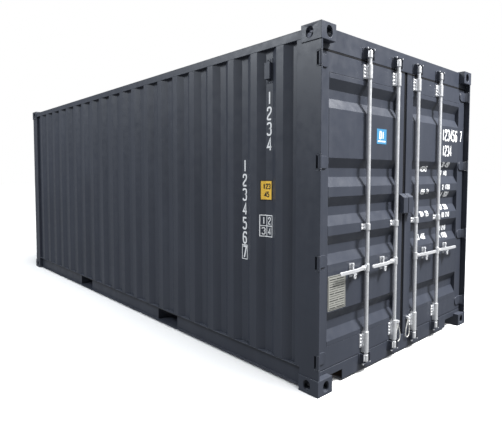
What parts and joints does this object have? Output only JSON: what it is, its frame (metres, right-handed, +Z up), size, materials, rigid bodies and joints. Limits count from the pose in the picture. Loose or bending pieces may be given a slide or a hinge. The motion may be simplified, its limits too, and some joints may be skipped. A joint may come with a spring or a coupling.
{
  "type": "twenty-foot dry-freight shipping container",
  "caption": "Corrugated steel freight container with corner castings, fork pockets, a timber floor and two end doors held by lock bars with lifting handles.",
  "frame": {"origin": "middle of the base, on the plane of the bottom corner castings' lower faces", "axes": "+X across to the right as seen from outside the doors, +Y from the doors to the front wall, +Z up"},
  "size_m": [2.438, 6.058, 2.591],
  "materials": {
    "grey_paint": "satin paint",
    "casting_paint": "satin paint on cast steel",
    "galvanised": "galvanised steel",
    "seal_rubber": "matt rubber",
    "plywood": "oiled plywood",
    "vent_plastic": "matt plastic",
    "data_plate": "brushed",
    "tie_rope": "twisted polypropylene rope"
  },
  "bodies": {
    "root": {"bottom_corner_castings": "casting_paint", "top_corner_castings": "casting_paint", "door_posts": "grey_paint", "front_posts": "grey_paint", "top_side_rails": "grey_paint", "bottom_side_rail_left": "grey_paint", "bottom_side_rail_right": "grey_paint", "front_top_rail": "grey_paint", "front_bottom_rail": "grey_paint", "door_header": "grey_paint", "door_sill": "grey_paint", "side_wall_left": "grey_paint", "side_wall_right": "grey_paint", "front_wall": "grey_paint", "roof_panel": "grey_paint", "roof_corner_plates": "grey_paint", "cross_members": "grey_paint", "fork_pockets": "grey_paint", "floor_boards": "plywood", "ventilators": "vent_plastic", "hinge_lugs": "grey_paint", "cam_keepers": "galvanised"},
    "left_door": {"left_door_frame": "grey_paint", "left_door_panel": "grey_paint", "left_door_gasket": "seal_rubber", "left_door_hinge_blades": "grey_paint", "left_door_bar_brackets": "galvanised", "left_door_handle_catches": "galvanised", "left_door_lock_box": "grey_paint", "left_door_tie_rope": "tie_rope", "data_plate": "data_plate"},
    "left_outer_lock_bar": {"left_outer_lock_bar": "galvanised"},
    "left_outer_handle": {"left_outer_handle": "galvanised"},
    "left_inner_lock_bar": {"left_inner_lock_bar": "galvanised"},
    "left_inner_handle": {"left_inner_handle": "galvanised"},
    "right_door": {"right_door_frame": "grey_paint", "right_door_panel": "grey_paint", "right_door_gasket": "seal_rubber", "right_door_hinge_blades": "grey_paint", "right_door_bar_brackets": "galvanised", "right_door_handle_catches": "galvanised", "right_door_lock_box": "grey_paint", "right_door_tie_rope": "tie_rope"},
    "right_outer_lock_bar": {"right_outer_lock_bar": "galvanised"},
    "right_outer_handle": {"right_outer_handle": "galvanised"},
    "right_inner_lock_bar": {"right_inner_lock_bar": "galvanised"},
    "right_inner_handle": {"right_inner_handle": "galvanised"}
  },
  "joints": [
    {"name": "left_door_hinge", "type": "hinge", "parent": "root", "child": "left_door", "pos_m": [-1.205, -3.015, 1.296], "axis": [0, 0, -1], "range_deg": [0, 265]},
    {"name": "left_outer_lock_bar_turn", "type": "hinge", "parent": "left_door", "child": "left_outer_lock_bar", "pos_m": [-0.596, -3.004, 1.295], "axis": [0, 0, -1], "range_deg": [-100, 0]},
    {"name": "left_outer_handle_lift", "type": "hinge", "parent": "left_outer_lock_bar", "child": "left_outer_handle", "pos_m": [-0.642, -3.009, 0.835], "axis": [0, -1, 0], "range_deg": [-15, 0]},
    {"name": "left_inner_lock_bar_turn", "type": "hinge", "parent": "left_door", "child": "left_inner_lock_bar", "pos_m": [-0.172, -3.004, 1.295], "axis": [0, 0, -1], "range_deg": [-100, 0]},
    {"name": "left_inner_handle_lift", "type": "hinge", "parent": "left_inner_lock_bar", "child": "left_inner_handle", "pos_m": [-0.218, -3.009, 0.835], "axis": [0, -1, 0], "range_deg": [-15, 0]},
    {"name": "right_door_hinge", "type": "hinge", "parent": "root", "child": "right_door", "pos_m": [1.205, -3.015, 1.296], "axis": [0, 0, 1], "range_deg": [0, 265]},
    {"name": "right_outer_lock_bar_turn", "type": "hinge", "parent": "right_door", "child": "right_outer_lock_bar", "pos_m": [0.596, -3.004, 1.295], "axis": [0, 0, 1], "range_deg": [-100, 0]},
    {"name": "right_outer_handle_lift", "type": "hinge", "parent": "right_outer_lock_bar", "child": "right_outer_handle", "pos_m": [0.642, -3.009, 0.835], "axis": [0, 1, 0], "range_deg": [-15, 0]},
    {"name": "right_inner_lock_bar_turn", "type": "hinge", "parent": "right_door", "child": "right_inner_lock_bar", "pos_m": [0.172, -3.004, 1.295], "axis": [0, 0, 1], "range_deg": [-100, 0]},
    {"name": "right_inner_handle_lift", "type": "hinge", "parent": "right_inner_lock_bar", "child": "right_inner_handle", "pos_m": [0.218, -3.009, 0.835], "axis": [0, 1, 0], "range_deg": [-15, 0]}
  ]
}
